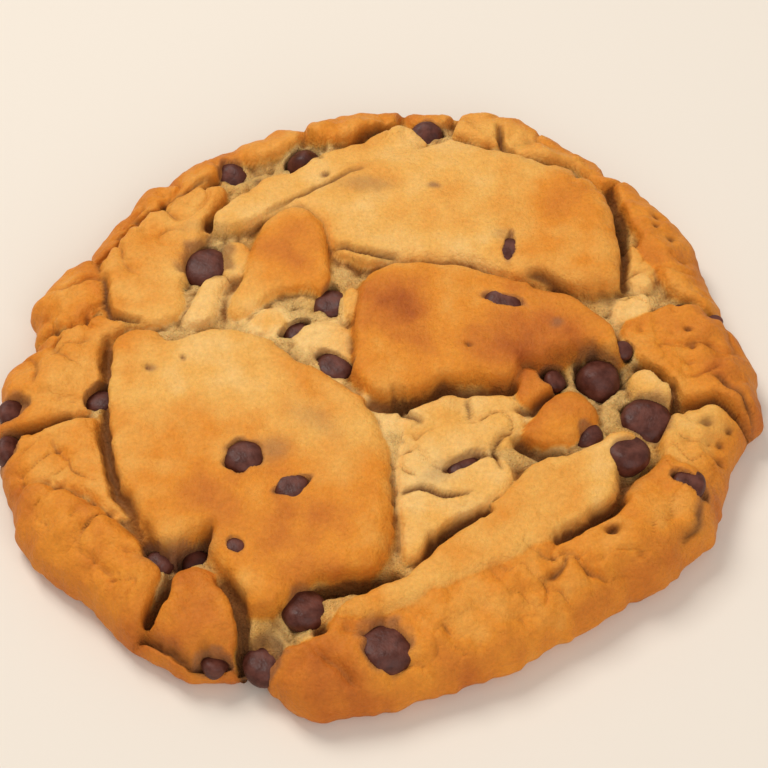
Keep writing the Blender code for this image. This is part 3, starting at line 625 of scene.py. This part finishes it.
def add_object(name, data):
    """A new object in the scene."""
    thing = bpy.data.objects.new(name, data)
    bpy.context.scene.collection.objects.link(thing)
    return thing


def add_field(mesh, name, values):
    """Stores one number for each vertex, for the material to read."""
    field = mesh.attributes.new(name, "FLOAT", "POINT")
    field.data.foreach_set("value", np.asarray(values, np.float32))


def dough_top():
    """The dough's top over the grid: its points, and the fields that its material reads."""
    radius, angle = disc_grid(GRID)
    radial = radius * rim_radius(np.where(radius < 0, angle + math.pi, angle))
    x = radial * np.cos(angle)
    y = radial * np.sin(angle)
    shifted = wobbled(x, y)
    z, brown, inside = crust(x, y)
    crack_cut, dark = cracks_and_pits(*shifted)
    opening_cut, stain = chip_openings(x, y)
    stain = np.maximum(stain, smears(*shifted))
    z = z - crack_cut - opening_cut
    outward = np.abs(radius)
    edge_fade = smooth_step(0.0, 0.06, 1 - outward)
    rise = (z - blurred(z, RISE_REACH)) * edge_fade
    # How far each point lies below its surroundings, for the shade painted into the hollows.
    cavity = (z - blurred(z, CAVITY_REACH)) * edge_fade
    z = np.where(outward == 1, BULGE_HEIGHT, z)
    x, y = undercut(x, y, z, rise)
    stretch = 1 + layered_noise(x, y, RIPPLE) * outward**6 / np.mean(RIM_RADII)
    x, y = x * stretch, y * stretch
    fields = {
        "browning": brown + patches(x, y, TINTS) + layered_noise(x, y, BLOTCHES),
        "crumb": 1 - smooth_step(-0.9, 0.4, inside),
        # painted shade for the cracks and pits
        "dark": dark,
        "stain": stain,
        # painted shade for the hollows
        "cavity": cavity,
    }
    points = np.stack([x, y, z], axis=-1).reshape(-1, 3)
    return points, {name: values.ravel() for name, values in fields.items()}


def side_rings(rim):
    """Rings of points from below the widest outline down to the foot, a little uneven."""
    x, y = rim[:, 0], rim[:, 1]
    reach = np.hypot(x, y)
    rings = []
    for step in range(1, SIDE_STEPS + 1):
        turn = step / SIDE_STEPS * math.pi / 2
        height = BULGE_HEIGHT * (1 - math.sin(turn))
        dents = lattice_noise(x + 2 * height, y, 4.5, 71)
        dents = dents + 0.6 * lattice_noise(x, y + 2 * height, 1.8, 72)
        inset = FOOT_INSET * (1 - math.cos(turn)) + SIDE_ROUGHNESS * math.sin(turn) * dents
        scale = 1 - inset / reach
        rings.append(np.stack([x * scale, y * scale, np.full(len(rim), height)], axis=1))
    return rings


def make_dough():
    """The whole dough as one closed mesh: top, bulging side and flat base."""
    top, fields = dough_top()
    side = GRID + 1
    corner = (np.arange(GRID)[:, None] * side + np.arange(GRID)).ravel()
    faces = [np.stack([corner, corner + 1, corner + side + 1, corner + side], axis=1)]
    points = [top]
    border = border_indices(GRID)
    ring = border
    count = len(top)
    for below in side_rings(top[border]):
        indices = count + np.arange(len(border))
        faces.append(np.stack([np.roll(ring, -1), ring, indices, np.roll(indices, -1)], axis=1))
        points.append(below)
        ring = indices
        count += len(border)
    points.append(np.zeros((1, 3)))
    base = [(after, here, count) for after, here in zip(np.roll(ring, -1).tolist(), ring.tolist())]
    corners = (np.concatenate(points) * MM).tolist()

    data = bpy.data.meshes.new("dough_baked")
    data.from_pydata(corners, [], np.concatenate(faces).tolist() + base)
    data.shade_smooth()
    for name, values in fields.items():
        on_side = np.tile(values[border], SIDE_STEPS)
        add_field(data, name, np.concatenate([values, on_side, [values[border].mean()]]))
    return add_object("dough_baked", data)


def chip_rings():
    """The corners of a chip 2 wide, ring by ring from base to tip."""
    turns = [2 * math.pi * step / CHIP_SEGMENTS for step in range(CHIP_SEGMENTS)]
    return [
        [Vector((radius * math.cos(turn), radius * math.sin(turn), height)) for turn in turns]
        for radius, height in CHIP_PROFILE
    ]


def make_chip(name, chip, random):
    """A chip as a turned drop, smoothed, and uneven from melting and setting again."""
    mesh = bmesh.new()

    def vertex(point):
        uneven = 1 + random.uniform(-CHIP_UNEVENNESS, CHIP_UNEVENNESS)
        return mesh.verts.new(point * chip.width / 2 * uneven * MM)

    base = vertex(Vector((0, 0, CHIP_BASE)))
    tip = vertex(Vector((0, 0, CHIP_TIP)))
    rings = [[vertex(point) for point in ring] for ring in chip_rings()]
    for step in range(CHIP_SEGMENTS):
        after = (step + 1) % CHIP_SEGMENTS
        mesh.faces.new([base, rings[0][after], rings[0][step]])
        for low, high in zip(rings, rings[1:]):
            mesh.faces.new([low[step], low[after], high[after], high[step]])
        mesh.faces.new([rings[-1][step], rings[-1][after], tip])
    data = bpy.data.meshes.new(name)
    mesh.to_mesh(data)
    mesh.free()
    data.shade_smooth()
    piece = add_object(name, data)
    smooth = piece.modifiers.new("smooth", "SUBSURF")
    smooth.levels = 2
    smooth.render_levels = 2
    return piece


def chip_reach_up(chip, turn):
    """How far the leaning chip reaches above its own centre, in mm."""
    corners = [Vector((0, 0, CHIP_BASE)), Vector((0, 0, CHIP_TIP))] + sum(chip_rings(), [])
    return max((turn @ corner).z for corner in corners) * chip.width / 2


def place_chip(piece, chip):
    """Leans the chip toward its heading and sinks it until only its proud part shows."""
    lean = Euler((0, math.radians(chip.lean), math.radians(chip.heading)))
    reach = chip_reach_up(chip, lean.to_matrix())
    surface = float(crust(np.array([chip.x]), np.array([chip.y]))[0][0])
    piece.rotation_euler = lean
    piece.location = Vector((chip.x, chip.y, surface + chip.proud - reach)) * MM


class Nodes:
    """Short calls for building one material's node tree."""

    def __init__(self, name):
        self.material = bpy.data.materials.new(name)
        self.material.use_nodes = True
        self.tree = self.material.node_tree
        self.shader = self.tree.nodes["Principled BSDF"]

    def add(self, kind, **settings):
        """A new node with these settings."""
        node = self.tree.nodes.new(kind)
        for key, value in settings.items():
            setattr(node, key, value)
        return node

    def set(self, node, socket, value):
        """Links value into the socket if it is an output, and otherwise sets it."""
        if isinstance(value, bpy.types.NodeSocket):
            self.tree.links.new(value, node.inputs[socket])
        else:
            node.inputs[socket].default_value = value

    def field(self, name):
        """A number stored on the mesh's vertices."""
        return self.add("ShaderNodeAttribute", attribute_name=name).outputs["Fac"]

    def position(self):
        """The place on the piece, in its own axes."""
        return self.add("ShaderNodeTexCoord").outputs["Object"]

    def noise(self, size, detail=3.0, roughness=0.5):
        """Noise from 0 to 1 with features about size mm wide."""
        node = self.add("ShaderNodeTexNoise")
        self.set(node, "Vector", self.position())
        self.set(node, "Scale", 1 / (size * MM))
        self.set(node, "Detail", detail)
        self.set(node, "Roughness", roughness)
        return node.outputs["Fac"]

    def math(self, operation, a, b):
        """The operation's result for a and b."""
        node = self.add("ShaderNodeMath", operation=operation)
        self.set(node, 0, a)
        self.set(node, 1, b)
        return node.outputs[0]

    def spread(self, value, low, high, to_low=0.0, to_high=1.0):
        """value mapped from low..high onto to_low..to_high, clamped."""
        node = self.add("ShaderNodeMapRange")
        sockets = ("Value", "From Min", "From Max", "To Min", "To Max")
        for socket, number in zip(sockets, (value, low, high, to_low, to_high)):
            self.set(node, socket, number)
        return node.outputs["Result"]

    def ramp(self, value, stops):
        """A colour ramp with stops of (position, colour)."""
        node = self.add("ShaderNodeValToRGB")
        while len(node.color_ramp.elements) < len(stops):
            node.color_ramp.elements.new(0.5)
        for element, (position, color) in zip(node.color_ramp.elements, stops):
            element.position = position
            element.color = (*color, 1)
        self.set(node, "Fac", value)
        return node.outputs["Color"]

    def mix(self, factor, a, b, blend="MIX"):
        """Colour a at factor 0, blended with colour b up to factor 1."""
        node = self.add("ShaderNodeMix", data_type="RGBA", blend_type=blend)
        self.set(node, 0, factor)
        for socket, value in ((6, a), (7, b)):
            self.set(node, socket, (*value, 1) if isinstance(value, tuple) else value)
        return node.outputs[2]

    def bump(self, height, distance, normal=None):
        """A bump up to distance mm high, on top of an earlier bump where normal is given."""
        node = self.add("ShaderNodeBump")
        self.set(node, "Height", height)
        self.set(node, "Distance", distance * MM)
        if normal:
            self.set(node, "Normal", normal)
        return node.outputs["Normal"]


# How the dough's colour deepens as it browns: how far it has baked, and the colour.
BROWNING_STOPS = [
    (0.0, (0.86, 0.54, 0.19)),
    (0.28, (0.80, 0.40, 0.085)),
    (0.55, (0.72, 0.25, 0.024)),
    (0.80, (0.54, 0.15, 0.017)),
    (1.0, (0.34, 0.070, 0.010)),
]
# Painted shade colours: one for the hollows, one for the cracks and pits.
HOLLOW_SHADE = (0.27, 0.085, 0.014)
CRACK_SHADE_COLOR = (0.15, 0.055, 0.016)
STAIN = (0.24, 0.11, 0.055)
CHOCOLATE = (0.060, 0.014, 0.008)
BLOOM = (0.135, 0.040, 0.026)


def baked_color(nodes):
    """The dough's colour: browned by its fields, with shade painted into hollows, cracks and pits,
    stained by chocolate.
    """
    mottle = nodes.spread(nodes.noise(6.0, 4.0, 0.5), 0.3, 0.7, -0.10, 0.10)
    brown = nodes.math("ADD", nodes.field("browning"), mottle)
    color = nodes.ramp(brown, BROWNING_STOPS)
    speckle = nodes.spread(nodes.noise(0.6, 3.0, 0.6), 0.3, 0.7, 0.90, 1.08)
    color = nodes.mix(1.0, color, speckle, "MULTIPLY")
    # Painted shade: hollows darkened towards dull brown where real shade would fall.
    hollow = nodes.spread(nodes.field("cavity"), -0.12, -0.9, 0.0, 0.85)
    color = nodes.mix(hollow, color, HOLLOW_SHADE)
    # Painted shade along the cracks and in the pits.
    crack = nodes.math("MULTIPLY", nodes.field("dark"), 0.8)
    color = nodes.mix(crack, color, CRACK_SHADE_COLOR)
    stain = nodes.math("MULTIPLY", nodes.field("stain"), 0.6)
    return nodes.mix(stain, color, STAIN)


def baked_grain(nodes, crumb):
    """The fine grain of the surface, coarser where crumb shows."""
    fine = nodes.bump(nodes.noise(0.45, 3.0, 0.6), 0.16)
    middle = nodes.bump(nodes.noise(1.5, 4.0, 0.6), 0.42, fine)
    grain = nodes.math("MULTIPLY", nodes.noise(0.9, 4.0, 0.7), crumb)
    return nodes.bump(grain, 0.8, middle)


def baked_dough():
    """Golden crust with a dull surface, and paler, rougher crumb between the plates."""
    nodes = Nodes("baked_dough")
    crumb = nodes.field("crumb")
    nodes.set(nodes.shader, "Base Color", baked_color(nodes))
    nodes.set(nodes.shader, "Roughness", nodes.spread(crumb, 0.0, 1.0, 0.56, 0.85))
    nodes.set(nodes.shader, "Specular IOR Level", 0.15)
    nodes.set(nodes.shader, "Subsurface Weight", 0.12)
    nodes.set(nodes.shader, "Subsurface Radius", (1.0, 0.45, 0.2))
    nodes.set(nodes.shader, "Subsurface Scale", 1.2 * MM)
    nodes.set(nodes.shader, "Normal", baked_grain(nodes, crumb))
    return nodes.material


def dark_chocolate():
    """Dull brown chocolate with a faint bloom and a soft sheen."""
    nodes = Nodes("dark_chocolate")
    bloom = nodes.spread(nodes.noise(1.8, 3.0, 0.6), 0.35, 0.7)
    nodes.set(nodes.shader, "Base Color", nodes.mix(bloom, CHOCOLATE, BLOOM))
    nodes.set(nodes.shader, "Roughness", nodes.spread(bloom, 0.0, 1.0, 0.38, 0.55))
    nodes.set(nodes.shader, "Specular IOR Level", 0.25)
    nodes.set(nodes.shader, "Normal", nodes.bump(nodes.noise(0.7, 3.0, 0.6), 0.12))
    return nodes.material


def pale_floor():
    """A plain pale surface under the cookie."""
    half = 3.0  # metres
    corners = [(-half, -half, 0), (half, -half, 0), (half, half, 0), (-half, half, 0)]
    data = bpy.data.meshes.new("floor")
    data.from_pydata(corners, [], [(0, 1, 2, 3)])
    floor = add_object("floor", data)
    nodes = Nodes("floor_paint")
    nodes.set(nodes.shader, "Base Color", (0.80, 0.72, 0.62, 1))
    nodes.set(nodes.shader, "Roughness", 0.9)
    data.materials.append(nodes.material)


def area_light(name, place, size, power, color):
    """A square light aimed at the cookie."""
    data = bpy.data.lights.new(name, "AREA")
    data.size = size
    data.energy = power
    data.color = color
    light = add_object(name, data)
    light.location = place
    light.rotation_euler = Vector(place).to_track_quat("Z", "Y").to_euler()


def light_studio():
    """A large soft light from the back left, a fill from the front and an even sky."""
    area_light("window", (-0.35, 0.42, 0.80), 0.40, 5.6, (1.0, 0.98, 0.95))
    area_light("fill", (0.3, -0.8, 0.7), 1.0, 5.4, (0.98, 0.98, 1.0))
    world = bpy.data.worlds.new("studio")
    world.use_nodes = True
    background = world.node_tree.nodes["Background"]
    background.inputs["Color"].default_value = (1.0, 0.98, 0.95, 1)
    background.inputs["Strength"].default_value = 0.44
    bpy.context.scene.world = world
    bpy.context.scene.view_settings.view_transform = "Standard"


def place_camera():
    """The camera, looking down at the cookie from the front."""
    data = bpy.data.cameras.new("camera")
    data.lens = LENS
    camera = add_object("camera", data)
    back = Vector((0, -math.cos(VIEW_ELEVATION), math.sin(VIEW_ELEVATION)))
    camera.location = VIEW_AIM + back * VIEW_DISTANCE
    camera.rotation_euler = back.to_track_quat("Z", "Y").to_euler()
    bpy.context.scene.camera = camera


def hold(piece, node, material):
    """The piece takes the CAD node's place on the body."""
    piece.data.materials.append(material)
    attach(piece, "root")
    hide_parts(node)


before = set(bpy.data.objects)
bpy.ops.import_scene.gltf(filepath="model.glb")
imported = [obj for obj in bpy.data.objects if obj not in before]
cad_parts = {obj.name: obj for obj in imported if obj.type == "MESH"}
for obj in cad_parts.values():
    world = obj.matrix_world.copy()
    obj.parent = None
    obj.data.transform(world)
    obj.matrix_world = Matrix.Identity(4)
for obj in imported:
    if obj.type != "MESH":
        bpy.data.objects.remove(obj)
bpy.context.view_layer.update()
place_camera()
light_studio()
pale_floor()
hold(make_dough(), "dough", baked_dough())
chocolate = dark_chocolate()
chip_random = np.random.default_rng(SEED)
for number, chip in enumerate(CHIPS, start=1):
    piece = make_chip(f"chip_{number:02d}_melted", chip, chip_random)
    place_chip(piece, chip)
    hold(piece, f"chip_{number:02d}", chocolate)
